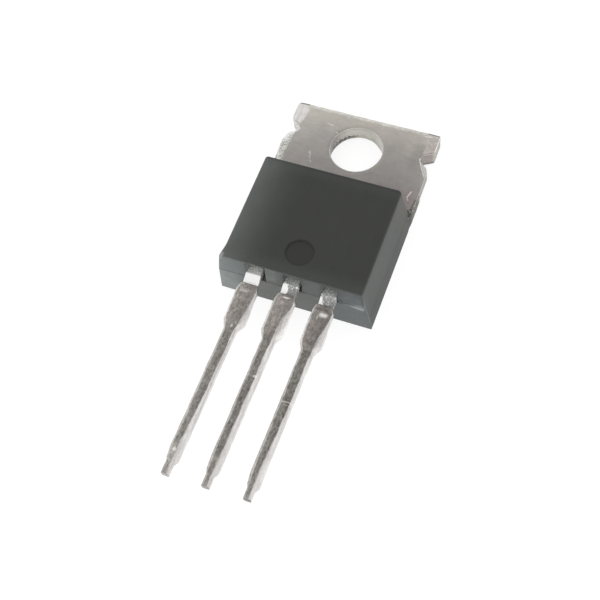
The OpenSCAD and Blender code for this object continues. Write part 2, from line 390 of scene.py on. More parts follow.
# for each lead: sideways drift of the tip, how far the tip reaches, a seed, the place of
# the small raised bar at the head of the wide part, and where the worn right
# edge begins along the lead
LEAD_FORM = (
    dict(x0=-PITCH, drift=-0.13, end=TIP_Y + 0.00, seed=31, bar=(-0.04, -13.55, 0.27, 0.12),
         right=[0.465, 0.465, 0.635, 0.590, 0.485, 0.395, 0.320, 0.29, 0.250, 0.15, 0.05, 0.08, 0.08]),
    dict(x0=0.0, drift=-0.12, end=TIP_Y + 0.06, seed=47, bar=(0.07, -13.22, 0.24, 0.045),
         right=[0.465, 0.465, 0.635, 0.585, 0.345, 0.225, 0.200, 0.20, 0.185, 0.15, 0.10, 0.08, 0.08]),
    dict(x0=PITCH, drift=-0.08, end=TIP_Y + 0.14, seed=59, bar=(0.14, -13.68, 0.27, 0.14),
         right=[0.465, 0.465, 0.635, 0.610, 0.480, 0.310, 0.280, 0.29, 0.255, 0.16, 0.07, 0.08, 0.08]),
)


def lead_edges(s, u0, k):
    """Half width at s, and how far out the flat top reaches, for a point at u0 across the lead."""
    seed = k["seed"]
    sd = s + 0.06 * noise(u0 * 3, 0, 0, seed + 4)
    w = np.interp(sd, W_S, W_V)
    right = u0 > 0
    w = w + 0.010 * noise(s * 2.2, np.sign(u0) * 3.0, 0, seed + 2) * smooth((s - 13.3) / 0.6)
    w = w + np.where(right, 0.002 + 0.026 * smooth((16.2 - s) / 0.4), -0.028) * smooth((s - 13.1) / 0.3)
    # the left edge runs in gently before the cut tip
    w = w - np.where(right, 0.0, 0.07) * smooth((s - 24.3) / 1.0) * smooth((25.55 - s) / 0.3)
    flat = np.where(right, np.interp(sd, R_S, k["right"]), np.interp(sd, L_S, L_V))
    rag = 0.03 * noise(s * 1.7, np.sign(u0) * 5.0, 0, seed + 3) + 0.015 * noise(s * 6.0, np.sign(u0) * 5.0, 0, seed + 5)
    return w, np.minimum(flat + rag * smooth((s - 14.0) / 1.0), w - 0.03)


def lead_u(x, y, k):
    s = -y
    seed = k["seed"]
    wobble = 0.012 * noise(s * 0.9, 0, 0, seed) + 0.006 * noise(s * 3.0, 0, 0, seed + 1)
    return x - k["x0"] - k["drift"] * np.clip((s - 15.0) / 10.5, 0, 1.1) - wobble * smooth((s - 13.4) / 1.0)


def lead_f(x, y, z, k):
    s = -y
    seed = k["seed"]
    u0 = lead_u(x, y, k)
    u = np.abs(u0)
    w, wf = lead_edges(s, u0, k)
    drop = np.interp(s, D_S, D_V) * np.where(u0 > 0, 1.0, 0.6)
    q = np.clip((u - wf) / (w - wf), 0, 1)
    ripple = 0.010 * noise(u0 * 1.6, s * 1.1, 0, seed + 6) + 0.004 * noise(u0 * 5.0, s * 4.0, 0, seed + 7)
    # the neck slopes down from the mouth of the case and steps up again at the shoulders
    dip = 0.25 * np.clip((s - 12.30) / 0.62, 0, 1) * smooth((13.02 - s) / 0.10)
    top = LEAD_Z1 - 0.012 - dip - drop * q ** 1.45 + ripple * smooth((s - 13.2) / 0.5)
    # solder fillet where the plating is built up under the shoulders
    bx, by, bw, bh = k["bar"]
    bump = 0.035 * np.exp(-((u0 - bx) / bw) ** 4 - ((y - by) / bh) ** 2)
    top = top + bump
    side = u - w + 0.10 * (LEAD_Z1 - z) * smooth((s - 13.2) / 0.2) * smooth((14.9 - s) / 0.5)
    d = rmax(side, z - top, 0.02)
    d = rmax(d, LEAD_Z0 - z, 0.05)
    end = s + k["end"] + 0.015 * noise(u0 * 5, z * 6, 0, seed + 8)
    d = rmax(d, end, 0.03)
    return d


def post_f(x, y, z, k):
    cx = k["x0"] + 0.05 * np.sign(k["x0"])
    px = np.abs(x - cx) - 1.0
    py = np.abs(y + 10.9) - 0.7
    plan = rmax(px, py, 0.15)
    return rmax(plan, np.abs(z - (LEAD_Z0 + LEAD_Z1) / 2) - 0.25, 0.02)


def posted_f(k):
    def f(x, y, z):
        bar = np.maximum(lead_f(x, y, z, k), y + 11.3)
        return np.minimum(bar, post_f(x, y, z, k))
    return f


def lead_masks(v, k):
    x, y, z = v.T
    s = -y
    seed = k["seed"]
    u = lead_u(x, y, k)
    w, wf = lead_edges(s, u, k)
    up = smooth((z - LEAD_Z1 + 0.38) / 0.08)
    bx, by, bw, bh = k["bar"]
    bar = np.exp(-((u - bx) / bw) ** 4 - ((y - by) / bh) ** 2) * up
    edge = 0.04 * noise(u * 6, 0, 0, seed + 10)
    mouth = smooth((s - (12.18 if k["x0"] < 0 else 12.30) + edge) / 0.04)
    head = smooth((12.96 + edge - s) / 0.05)
    tin = mouth * head
    if k["x0"] == 0:
        tin = tin * smooth((-0.06 - u + 0.16 * noise(u * 7, y * 7, 0, 71)) / 0.07)
    elif k["x0"] > 0:
        tin = tin * smooth((-0.20 - u - 0.36 * (12.85 - s) + 0.05 * noise(u * 8, y * 8, 0, 72)) / 0.05) * smooth((s - 12.40) / 0.08)
    # resin covers the neck as far as the mouth of the case, and further on two of them
    flash = np.maximum(1 - mouth, head * (1 - tin)) * (s < 13.1)
    crumb = mouth * head * (1 - tin) * (k["x0"] >= 0) * (1 - 0.9 * smooth((s - 12.44) / 0.12) * (k["x0"] == 0)) * np.where(k["x0"] > 0, 0.50, 1.0) + 0.65 * (1 - mouth) * smooth((s - 12.0) / 0.3) * (k["x0"] >= 0)
    # the flat, stained top against the bright worn edges
    soft = np.where(u > 0, 0.06, 0.07)
    face = smooth((wf + soft * 0.4 - np.abs(u)) / soft)
    face = face * smooth((s - 12.93) / 0.06) * smooth((26.10 + 0.2 * noise(u * 4, 0, 0, seed + 11) - s) / 0.35)
    end = smooth((s + k["end"] + 0.06) / 0.05)
    side = smooth((np.abs(u) - w + 0.035) / 0.03) * smooth((LEAD_Z1 - 0.06 - z) / 0.06) * smooth((s - 12.9) / 0.1)
    return {"bar": bar, "tin": tin * up, "flash": flash, "crumb": crumb * up, "face": face * up, "end": end, "side": side,
            "left": smooth((-u - wf + 0.02) / 0.05), "pale": smooth((s - 23.9) / 0.6) * smooth((26.0 - s) / 0.5), "across": 0.5 + u / 1.5, "wide": smooth((16.2 - s) / 0.5)}


def lead_lines(x0):
    xs = lines((x0 - 1.16, x0 - 0.76, 0.07), (x0 - 0.76, x0 + 0.74, 0.030), (x0 + 0.74, x0 + 1.16, 0.07))
    ys = lines((-26.36, -25.10, 0.05), (-25.10, -16.60, 0.085), (-16.60, -13.10, 0.05), (-13.10, -12.90, 0.03),
               (-12.90, -12.20, 0.05), (-12.20, -11.50, 0.07), (-11.50, -11.20, 0.10), (-11.20, -10.40, 0.10),
               (-10.40, -10.10, 0.05))
    zs = lines((2.80, 2.98, 0.03), (2.98, 3.12, 0.045), (3.12, 3.46, 0.026))
    return xs, ys, zs


def build_lead(name, k):
    f = posted_f(k)
    v, q = nets(f, *lead_lines(k["x0"]))
    ob = make_mesh(name + "_formed", v, q, f, lead_masks(v, k))
    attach(ob, "root")
    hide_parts(name)
    return ob


# ---------------------------------------------------------------------------
# drain leadframe: plate, web and centre lead in one piece
# ---------------------------------------------------------------------------


def fillet(points, n=6):
    """A closed outline of (x, y, radius) corners as plain points."""
    out = []
    k = len(points)
    for i in range(k):
        a, b, c = (np.array(points[(i + j) % k][:2], float) for j in (-1, 0, 1))
        r = points[i][2]
        if r <= 0:
            out.append(b)
            continue
        u, v = (a - b) / np.linalg.norm(a - b), (c - b) / np.linalg.norm(c - b)
        half = math.acos(float(np.clip(u @ v, -1, 1))) / 2
        m = b + (u + v) / np.linalg.norm(u + v) * r / math.sin(half)
        p, q = b + u * r / math.tan(half) - m, b + v * r / math.tan(half) - m
        a0 = math.atan2(p[1], p[0])
        da = (math.atan2(q[1], q[0]) - a0 + math.pi) % (2 * math.pi) - math.pi
        out += [m + r * np.array([math.cos(a0 + da * t / n), math.sin(a0 + da * t / n)]) for t in range(n + 1)]
    return np.array(out)


def half_outline(corner, low, shoulder):
    return [(TAB_X, TAB_TOP, 0.12), (TAB_X, 1.26, corner), (4.60, 0.93, 0.10), (4.45, 0.74, 0.10),
            (4.45, low, 0.06), (4.62, low - 0.06, 0.05), (5.02, shoulder, 0.22), (TAB_X, -0.42, 0.25),
            (TAB_X, STEP_Y, 0.0), (PAD_X, STEP_Y, 0.15), (PAD_X, PAD_END, 0.20)]


OUTLINE = fillet(half_outline(0.10, 0.34, -0.02)
                 + [(-a, b, r) for a, b, r in reversed(half_outline(0.42, 0.42, 0.08))])


def polygon_distance(px, py, poly):
    px, py = np.broadcast_arrays(px, py)
    d = np.full(px.shape, 1e9)
    odd = np.zeros(px.shape, bool)
    a = poly
    b = np.roll(poly, -1, axis=0)
    for (ax, ay), (bx, by) in zip(a, b):
        ex, ey = bx - ax, by - ay
        wx, wy = px - ax, py - ay
        t = np.clip((wx * ex + wy * ey) / (ex * ex + ey * ey + 1e-18), 0, 1)
        dx, dy = wx - ex * t, wy - ey * t
        d = np.minimum(d, dx * dx + dy * dy)
        if ay != by:
            cross = (ay > py) != (by > py)
            odd ^= cross & (px < ex * (py - ay) / (ey if ey else 1e-18) + ax)
    return np.sqrt(d) * np.where(odd, -1, 1)


def plate_top(x, y):
    """Height of the plate's front face: flat, falling away towards its cut edges."""
    ax = np.abs(x)
    left = x < 0
    ear = smooth((y - 0.50) / 0.25)
    # the left edge is rolled over along its whole length, the right one only at the ear
    inner = np.where(left, np.interp(y, (-4.2, -2.0, -1.0, 0.2, 1.0, 1.6, 2.3, 2.75), (4.62, 4.66, 4.66, 4.52, 4.45, 4.30, 4.17, 4.46)), 4.52)
    inner = inner + 0.04 * noise(y * 2.0, 0, 0, 80)
    width = TAB_X - inner
    deep = np.where(left, 0.06 + 0.05 * ear, 0.03 * ear)
    t = np.clip((ax - inner) / width, 0, 1)
    band = deep * t ** 1.35
    # the shoulders are bent down at their corners
    past = 0.86 * ax + 0.52 * y - 3.97 + 0.02 * noise(x * 5, y * 5, 0, 84)
    corner = np.where(left, 0.05, 0.10) * smooth(past / 0.34) * smooth((0.70 - y) / 0.15)
    rag = 0.05 * noise(x * 2.5, 0, 0, 81)
    rim = np.interp(x, (-4.4, -3.5, 2.0, 4.0), (0.012, 0.028, 0.024, 0.010)) * smooth((y - 2.46 + rag) / 0.30) ** 1.3
    hole = np.hypot(x, y) - HOLE_R
    dish = 0.012 * smooth((0.30 - hole) / 0.30) ** 1.5
    wave = 0.006 * noise(x * 0.7, y * 0.7, 0, 82)
    pit = 0.010 * fractal(x * 7, y * 7, 0, 85, 2) * left * smooth((ax - inner + 0.1) / 0.2) * (1 - ear)
    return TAB_T - band - corner - rim - dish + wave + pit - 0.006


def frame_f(x, y, z):
    plan = polygon_distance(x, y, OUTLINE)
    plan = plan + 0.010 * noise(x * 3.0, y * 3.0, 0, 83) + 0.12 * smooth((-3.78 - y) / 0.45) * smooth((x - 4.8) / 0.15)
    # the left ear bulges a little where it was sheared, and so does the shoulder under it
    plan = plan - (x < -4.4) * (0.055 * np.exp(-((y - 2.0) / 0.75) ** 2) + 0.06 * np.exp(-((y + 0.75) / 0.8) ** 2))
    hole = HOLE_R - np.hypot(x, y)
    top = (z - plate_top(x, y)) * 0.99
    # a sharp burr round the front, a rolled edge round the back
    d = rmax(plan, top, 0.03)
    exposed = smooth((y + 4.40) / 0.25)
    roll = 0.46 - 0.30 * smooth((y - 0.40) / 0.4)
    d = rmax(d, -z, roll) * exposed + rmax(d, -z, 0.03) * (1 - exposed)
    # a ragged burr hangs from the far half of its back edge, a fine one from the near half of the front
    hole = hole - (0.085 + 0.03 * noise(x * 2.6, y * 2.6, 0, 86)) * smooth((0.62 - z) / 0.4) * smooth((y + 0.3) / 0.9)
    hole = hole - 0.035 * smooth((z - 0.9) / 0.2) * smooth((0.2 - y) / 0.8) * smooth((x + 1.7) / 1.0)
    e = rmax(hole, top, 0.02)
    e = rmax(e, -z, 0.32)
    d = np.maximum(d, e)
    # the web that climbs to the leads
    pts = ((-9.2, 1.02), (-9.55, 1.02), (-10.97, 3.11), (-11.7, 3.11))
    web = 1e9
    for (ay, az), (by, bz) in zip(pts[:-1], pts[1:]):
        ey, ez = by - ay, bz - az
        t = np.clip(((y - ay) * ey + (z - az) * ez) / (ey * ey + ez * ez), 0, 1)
        web = np.minimum(web, np.hypot(y - ay - ey * t, z - az - ez * t))
    web = rmax(web - 0.235, np.abs(x) - 0.66, 0.03)
    bar = np.maximum(lead_f(x, y, z, LEAD_FORM[1]), y + 11.4)
    return np.minimum(d, np.minimum(web, bar))


def build_frame():
    xs = lines((-5.366, -4.36, 0.048), (-4.36, -4.10, 0.065), (-4.10, -1.95, 0.13), (-1.95, -0.72, 0.062),
               (-0.72, 0.72, 0.032), (0.72, 1.95, 0.062), (1.95, 4.10, 0.13), (4.10, 4.36, 0.065), (4.36, 5.318, 0.048))
    ys = lines((-26.36, -25.10, 0.05), (-25.10, -16.60, 0.085), (-16.60, -13.10, 0.05), (-13.10, -12.90, 0.03),
               (-12.90, -12.20, 0.05), (-12.20, -11.40, 0.07), (-11.40, -9.90, 0.10),
               (-9.90, -9.60, 0.05), (-9.60, -4.55, 0.28), (-4.55, -4.25, 0.05), (-4.25, -1.95, 0.10),
               (-1.95, 2.20, 0.055), (2.20, 2.83, 0.035))
    zs = lines((-0.05, 0.09, 0.023), (0.09, 0.95, 0.14), (0.95, 1.08, 0.04), (1.08, 1.34, 0.026),
               (1.34, 2.80, 0.09), (2.80, 2.98, 0.03), (2.98, 3.12, 0.045), (3.12, 3.46, 0.026))
    v, q = nets(frame_f, xs, ys, zs)
    x, y, z = v.T
    lead = smooth((-11.5 - y) / 0.2)
    masks = {k: m * lead for k, m in lead_masks(v, LEAD_FORM[1]).items()}
    tab = 1 - lead
    hole = np.hypot(x, y) - HOLE_R
    up = smooth((z - plate_top(x, y) + 0.10) / 0.07)
    left = x < 0
    inner = np.interp(y, (-4.2, -2.0, -1.0, 0.2, 1.0, 1.6, 2.3, 2.75), (4.62, 4.66, 4.66, 4.52, 4.45, 4.30, 4.17, 4.46))
    rag = 0.06 * noise(y * 3, x * 3, 0, 90)
    past = 0.86 * np.abs(x) + 0.52 * y - 3.97
    ear = smooth((y - 0.50) / 0.15)
    masks["earband"] = left * smooth((-x - inner + rag) / 0.12) * ear * tab * up
    masks["shoulder"] = left * smooth((-x - inner + rag + 0.03) / 0.10) * (1 - ear) * tab * up
    masks["bent"] = smooth((past + 0.02) / 0.12) * (1 - ear) * tab * up
    masks["earright"] = (~left) * smooth((x - 4.42 + rag) / 0.15) * ear * tab * up
    masks["rim"] = smooth((y - 2.31 + 0.10 * noise(x * 1.6, 0, 0, 91) + 0.05 * noise(x * 6.0, 0, 0, 92)) / 0.26) * tab * up
    masks["cut"] = (1 - up) * tab * (hole > 0.3)
    masks["wall"] = (1 - up) * tab * (hole < 0.2)
    masks["lip"] = np.exp(-((hole - 0.05) / 0.14) ** 2) * tab * up
    masks["hole_edge"] = np.exp(-(hole / 0.06) ** 2) * tab * smooth((z - 1.0) / 0.1) * smooth((y + 0.6) / 0.6)
    around = np.abs(polygon_distance(x, y, OUTLINE))
    right_notch = (np.abs(x) > 4.2) * smooth((1.40 - y) / 0.06) * smooth((y - 0.62) / 0.06)
    masks["notch_edge_shade"] = np.exp(-(around / 0.07) ** 2) * np.exp(-((z - TAB_T + 0.03) / 0.07) ** 2) * tab * right_notch
    ob = make_mesh("drain_leadframe_formed", v, q, frame_f, masks)
    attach(ob, "root")
    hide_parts("drain_leadframe")
    return ob

# ---------------------------------------------------------------------------
# materials
# ---------------------------------------------------------------------------


class Shader:
    """A principled material whose sockets are fed from procedural nodes, with lengths in millimetres."""

    def __init__(self, name, roughness=0.5, metallic=0.0, specular=0.5):
        self.mat = bpy.data.materials.new(name)
        self.mat.use_nodes = True
        self.nt = self.mat.node_tree
        self.b = self.nt.nodes["Principled BSDF"]
        self.b.inputs["Roughness"].default_value = roughness
        self.b.inputs["Metallic"].default_value = metallic
        self.b.inputs["Specular IOR Level"].default_value = specular
        tc = self.nt.nodes.new("ShaderNodeTexCoord")
        self.p = self.scaled(tc.outputs["Object"], 1000.0)
        sep = self.nt.nodes.new("ShaderNodeSeparateXYZ")
        self.nt.links.new(self.p, sep.inputs[0])
        self.x, self.y, self.z = sep.outputs

    def scaled(self, v, k):
        n = self.nt.nodes.new("ShaderNodeVectorMath")
        n.operation = "SCALE"
        n.inputs["Scale"].default_value = k
        self.nt.links.new(v, n.inputs[0])
        return n.outputs[0]

    def put(self, socket, v):
        if isinstance(v, bpy.types.NodeSocket):
            self.nt.links.new(v, socket)
        elif isinstance(v, tuple) and len(v) == 3 and socket.type == "RGBA":
            socket.default_value = (*v, 1)
        else:
            socket.default_value = v

    def math(self, op, a, b=0.0, clamp=False):
        n = self.nt.nodes.new("ShaderNodeMath")
        n.operation = op
        n.use_clamp = clamp
        self.put(n.inputs[0], a)
        self.put(n.inputs[1], b)
        return n.outputs[0]

    def add(self, a, b):
        return self.math("ADD", a, b)

    def mul(self, a, b):
        return self.math("MULTIPLY", a, b)

    def ramp(self, v, lo, hi, a=0.0, b=1.0, kind="SMOOTHSTEP"):
        n = self.nt.nodes.new("ShaderNodeMapRange")
        n.interpolation_type = kind
        self.put(n.inputs["Value"], v)
        for key, val in (("From Min", lo), ("From Max", hi), ("To Min", a), ("To Max", b)):
            n.inputs[key].default_value = val
        return n.outputs["Result"]

    def curve(self, v, *stops):
        """A number that follows (place, value) stops, with values from 0 to 2."""
        lo, hi = stops[0][0], stops[-1][0]
        t = self.ramp(v, lo, hi, 0.0, 1.0, "LINEAR")
        n = self.nt.nodes.new("ShaderNodeValToRGB")
        n.color_ramp.interpolation = "LINEAR"
        while len(n.color_ramp.elements) < len(stops):
            n.color_ramp.elements.new(0.5)
        for e, (place, value) in zip(n.color_ramp.elements, stops):
            e.position = (place - lo) / (hi - lo)
            e.color = (value / 2, value / 2, value / 2, 1)
        self.put(n.inputs["Fac"], t)
        return self.mul(n.outputs["Color"], 2.0)

    def noise(self, scale, detail=2.0, rough=0.5, stretch=(1, 1, 1), seed=0.0):
        """Fractal noise from 0 to 1, with scale in lumps per millimetre."""
        v = self.p
        if stretch != (1, 1, 1):
            m = self.nt.nodes.new("ShaderNodeVectorMath")
            m.operation = "MULTIPLY"
            m.inputs[1].default_value = stretch
            self.nt.links.new(v, m.inputs[0])
            v = m.outputs[0]
        n = self.nt.nodes.new("ShaderNodeTexNoise")
        n.noise_dimensions = "4D"
        self.put(n.inputs["Vector"], v)
        n.inputs["W"].default_value = seed
        n.inputs["Scale"].default_value = scale
        n.inputs["Detail"].default_value = detail
        n.inputs["Roughness"].default_value = rough
        return n.outputs["Fac"]

    def mix(self, fac, a, b, kind="MIX"):
        n = self.nt.nodes.new("ShaderNodeMix")
        n.data_type = "RGBA"
        n.blend_type = kind
        self.put(n.inputs["Factor"], fac)
        self.put([i for i in n.inputs if i.name == "A" and i.type == "RGBA"][0], a)
        self.put([i for i in n.inputs if i.name == "B" and i.type == "RGBA"][0], b)
        return [o for o in n.outputs if o.type == "RGBA"][0]

    def scale_colour(self, colour, v):
        """A colour made lighter or darker by a varying number."""
        n = self.nt.nodes.new("ShaderNodeVectorMath")
        n.operation = "SCALE"
        self.nt.links.new(colour, n.inputs[0])
        self.put(n.inputs["Scale"], v)
        return n.outputs[0]

    def attr(self, name):
        n = self.nt.nodes.new("ShaderNodeAttribute")
        n.attribute_name = name
        return n.outputs["Fac"]

    def tick(self, a, b, width):
        """1 along a short scratch between two points of the plan, 0 away from it."""
        ax, ay = a
        dx, dy = b[0] - ax, b[1] - ay
        l2 = dx * dx + dy * dy
        px, py = self.add(self.x, -ax), self.add(self.y, -ay)
        t = self.math("ADD", self.mul(px, dx / l2), self.mul(py, dy / l2), clamp=True)
        ex = self.math("SUBTRACT", px, self.mul(t, dx))
        ey = self.math("SUBTRACT", py, self.mul(t, dy))
        d = self.math("SQRT", self.add(self.mul(ex, ex), self.mul(ey, ey)))
        return self.ramp(d, width, width * 0.25, 0.0, 1.0)

    def spot(self, centre, rx, ry=None):
        ry = ry or rx
        ex = self.mul(self.add(self.x, -centre[0]), 1 / rx)
        ey = self.mul(self.add(self.y, -centre[1]), 1 / ry)
        d = self.math("SQRT", self.add(self.mul(ex, ex), self.mul(ey, ey)))
        return self.ramp(d, 1.25, 0.55, 0.0, 1.0)

    def bump(self, height, distance, normal=None):
        n = self.nt.nodes.new("ShaderNodeBump")
        n.inputs["Strength"].default_value = 1.0
        n.inputs["Distance"].default_value = distance * MM
        self.put(n.inputs["Height"], height)
        if normal is not None:
            self.nt.links.new(normal, n.inputs["Normal"])
        return n.outputs[0]

    def finish(self, colour=None, roughness=None, normal=None, metallic=None):
        for key, v in (("Base Color", colour), ("Roughness", roughness), ("Normal", normal), ("Metallic", metallic)):
            if v is not None:
                self.put(self.b.inputs[key], v)
        return self.mat


def epoxy_material():
    g = Shader("epoxy_moulding", roughness=0.6, specular=0.42)
    fine = g.noise(11.0, 3.0, 0.6, seed=1.0)
    grain = g.noise(34.0, 2.0, 0.6, seed=2.0)
    cloud = g.noise(0.55, 3.0, 0.5, seed=3.0)
    smear = g.noise(1.6, 2.0, 0.5, (1.0, 0.35, 1.0), seed=4.0)
    # paler towards the left edge: painted light
    t = g.ramp(g.add(g.x, g.ramp(cloud, 0.3, 0.7, -0.25, 0.25, "LINEAR")), -1.3, -4.9, 0.0, 1.0, "LINEAR")
    left_light = g.mul(t, t)
    colour = g.mix(left_light, (0.0365, 0.0392, 0.0355), (0.105, 0.113, 0.107))
    middle = g.mul(g.ramp(g.x, -4.3, -1.6, 0.0, 1.0, "LINEAR"), g.mul(g.ramp(g.y, -11.7, -10.9), g.ramp(g.y, -4.5, -5.3)))
    colour = g.scale_colour(colour, g.ramp(middle, 0.0, 1.0, 1.02, 0.80, "LINEAR"))
    # painted light: the front face has its own paler, bluer copy of the epoxy colour, varied along its length
    front = g.mix(left_light, (0.092, 0.103, 0.104), (0.176, 0.192, 0.188))
    front = g.scale_colour(front, g.curve(g.x, (-5.3, 1.0), (-2.0, 1.08), (0.0, 1.0), (3.0, 0.96), (4.9, 1.0)))
    low = g.mul(g.ramp(g.z, 2.9, 2.6), g.ramp(g.x, -3.2, -4.2))
    front = g.scale_colour(front, g.ramp(low, 0.0, 1.0, 1.0, 1.18, "LINEAR"))
    scuff = g.ramp(g.noise(2.6, 3.0, 0.6, (1.0, 1.0, 1.6), seed=6.0), 0.52, 0.68)
    front = g.scale_colour(front, g.ramp(scuff, 0.0, 1.0, 1.0, 1.18, "LINEAR"))
    # painted highlight along the top of the fin at the right end of the seam
    front = g.mix(g.attr("fin_highlight"), front, (0.330, 0.360, 0.358))
    # the middle of the front is browner below the seam, and paler above it beside the first lead
    warm = g.mul(g.mul(g.ramp(g.x, -3.4, -2.2), g.ramp(g.x, 3.0, 2.0)), g.ramp(g.z, 3.3, 2.7, 0.45, 1.0))
    front = g.mix(warm, front, g.mix(1.0, front, (1.045, 0.985, 0.925), "MULTIPLY"))
    pale = g.mul(g.mul(g.ramp(g.x, -2.0, -1.6), g.ramp(g.x, -0.9, -1.1)), g.ramp(g.z, 2.95, 3.3))
    front = g.scale_colour(front, g.ramp(pale, 0.0, 1.0, 1.0, 1.25, "LINEAR"))
    front = g.scale_colour(front, g.add(1.0, g.mul(g.mul(g.attr("seam"), g.ramp(g.add(fine, g.ramp(g.x, -3.6, -2.8, 0.0, 0.12)), 0.35, 0.65, 0.25, 1.0)), g.ramp(g.x, 2.8, 3.2, -0.60, -0.72))))
    colour = g.mix(g.attr("front"), colour, front)
    # painted light and shade: the right flank has its own copy of the epoxy colour, darker towards the floor and at its
    # top edge, paler in between and towards the back
    side = g.ramp(g.x, 4.60, 4.75, 0.0, 1.0)
    flank = g.scale_colour(g.mix(g.ramp(cloud, 0.35, 0.65), (0.044, 0.0475, 0.0450), (0.050, 0.0535, 0.0500)),
                           g.curve(g.z, (0.0, 1.0), (1.4, 1.02), (2.6, 1.20), (3.6, 1.30), (4.1, 1.12), (4.35, 0.9)))
    flank = g.scale_colour(flank, g.ramp(g.y, -6.0, -4.2, 1.0, 1.30, "LINEAR"))
    flank = g.mix(g.ramp(g.y, -6.5, -4.3), flank, g.mix(1.0, flank, (1.05, 1.0, 0.93), "MULTIPLY"))
    colour = g.mix(g.mul(side, g.ramp(g.attr("front"), 0.0, 1.0, 1.0, 0.0, "LINEAR")), colour, flank)
    # the back edge is darker, the front edge a little paler
    colour = g.scale_colour(colour, g.mul(g.ramp(g.mul(g.ramp(g.y, -4.48, -4.28), g.ramp(g.z, 4.05, 4.2)), 0.0, 1.0, 1.0, 0.74, "LINEAR"), g.ramp(g.mul(g.ramp(g.y, -11.4, -11.9), g.ramp(g.attr("front"), 0.5, 0.0)), 0.0, 1.0, 1.0, 1.12, "LINEAR")))
    colour = g.mix(g.attr("pinmark"), colour, (0.022, 0.023, 0.021))
    # painted shade on the far side of the ejector-pin mark's rim
    colour = g.mix(g.mul(g.attr("pin_rim_shade"), 0.85), colour, (0.010, 0.010, 0.009))
    # thin resin on the metal looks paler and browner than the body
    crust = g.mix(g.ramp(g.noise(9.0, 3.0, 0.6, (1.0, 0.55, 1.0), seed=5.0), 0.42, 0.60), (0.026, 0.026, 0.021), (0.250, 0.246, 0.216))
    crust = g.scale_colour(crust, g.ramp(g.y, -2.9, -3.4, 1.0, 0.80))
    crust = g.mix(g.ramp(g.add(g.y, g.ramp(fine, 0.3, 0.7, -0.10, 0.10, "LINEAR")), -3.62, -3.88), crust, (0.062, 0.064, 0.060))
    # painted shade along a groove in the resin at the right edge by the case
    crust = g.mix(g.mul(g.math("MAXIMUM", g.tick((5.10, -2.72), (5.02, -3.40), 0.04), g.tick((5.02, -3.40), (5.17, -3.86), 0.045)), 0.85), crust, (0.022, 0.022, 0.020))
    colour = g.mix(g.attr("flash"), colour, crust)
    # painted shade: the pockets are a darker grey than the front face round them; painted light makes the crown above
    # each neck paler, most on the first lead
    pocket = g.mix(g.ramp(fine, 0.42, 0.60), (0.062, 0.066, 0.064), (0.115, 0.122, 0.118))
    pocket = g.mix(g.attr("crown_light"), pocket, g.mix(g.ramp(fine, 0.40, 0.58), (0.120, 0.126, 0.122), (0.330, 0.338, 0.326)))
    colour = g.mix(g.attr("pocket"), colour, pocket)
    # painted shade: a dark line in the gap at the neck's left
    colour = g.mix(g.mul(g.attr("slit_shade"), 0.7), colour, (0.050, 0.052, 0.049))
    # painted shade along the rounded front-right corner and over the front's upper right, damping their highlight
    colour = g.scale_colour(colour, g.ramp(g.mul(g.attr("corner"), g.ramp(g.z, 2.7, 3.4, 0.35, 1.0)), 0.0, 1.0, 1.0, 0.74, "LINEAR"))
    colour = g.scale_colour(colour, g.ramp(g.mul(g.mul(g.attr("front"), g.ramp(g.x, 3.9, 4.3)), g.ramp(g.z, 3.7, 4.1)), 0.0, 1.0, 1.0, 0.84, "LINEAR"))
    # a dark dent in the front beside the third lead, and a painted highlight on the rounded corner at the far left
    dent = g.mul(g.ramp(g.math("SQRT", g.add(g.math("POWER", g.mul(g.add(g.x, -3.32), 1 / 0.16), 2.0), g.math("POWER", g.mul(g.add(g.z, -3.16), 1 / 0.20), 2.0))), 1.2, 0.5), g.attr("front"))
    colour = g.mix(g.mul(dent, g.ramp(fine, 0.36, 0.52, 0.35, 0.8)), colour, (0.045, 0.050, 0.056))
    colour = g.mix(g.mul(g.spot((-4.74, -12.02), 0.20, 0.20), g.ramp(g.z, 3.9, 4.2, 0.0, 0.8)), colour, (0.30, 0.31, 0.305))
    vary = g.add(g.ramp(fine, 0.25, 0.75, 0.91, 1.09, "LINEAR"), g.ramp(smear, 0.3, 0.7, -0.05, 0.05, "LINEAR"))
    colour = g.scale_colour(colour, vary)
    rough = g.add(g.ramp(cloud, 0.3, 0.7, 0.54, 0.62, "LINEAR"), g.mul(g.attr("pinmark"), -0.14))
    n = g.bump(fine, 0.006)
    n = g.bump(grain, 0.0022, n)
    return g.finish(colour, rough, n)


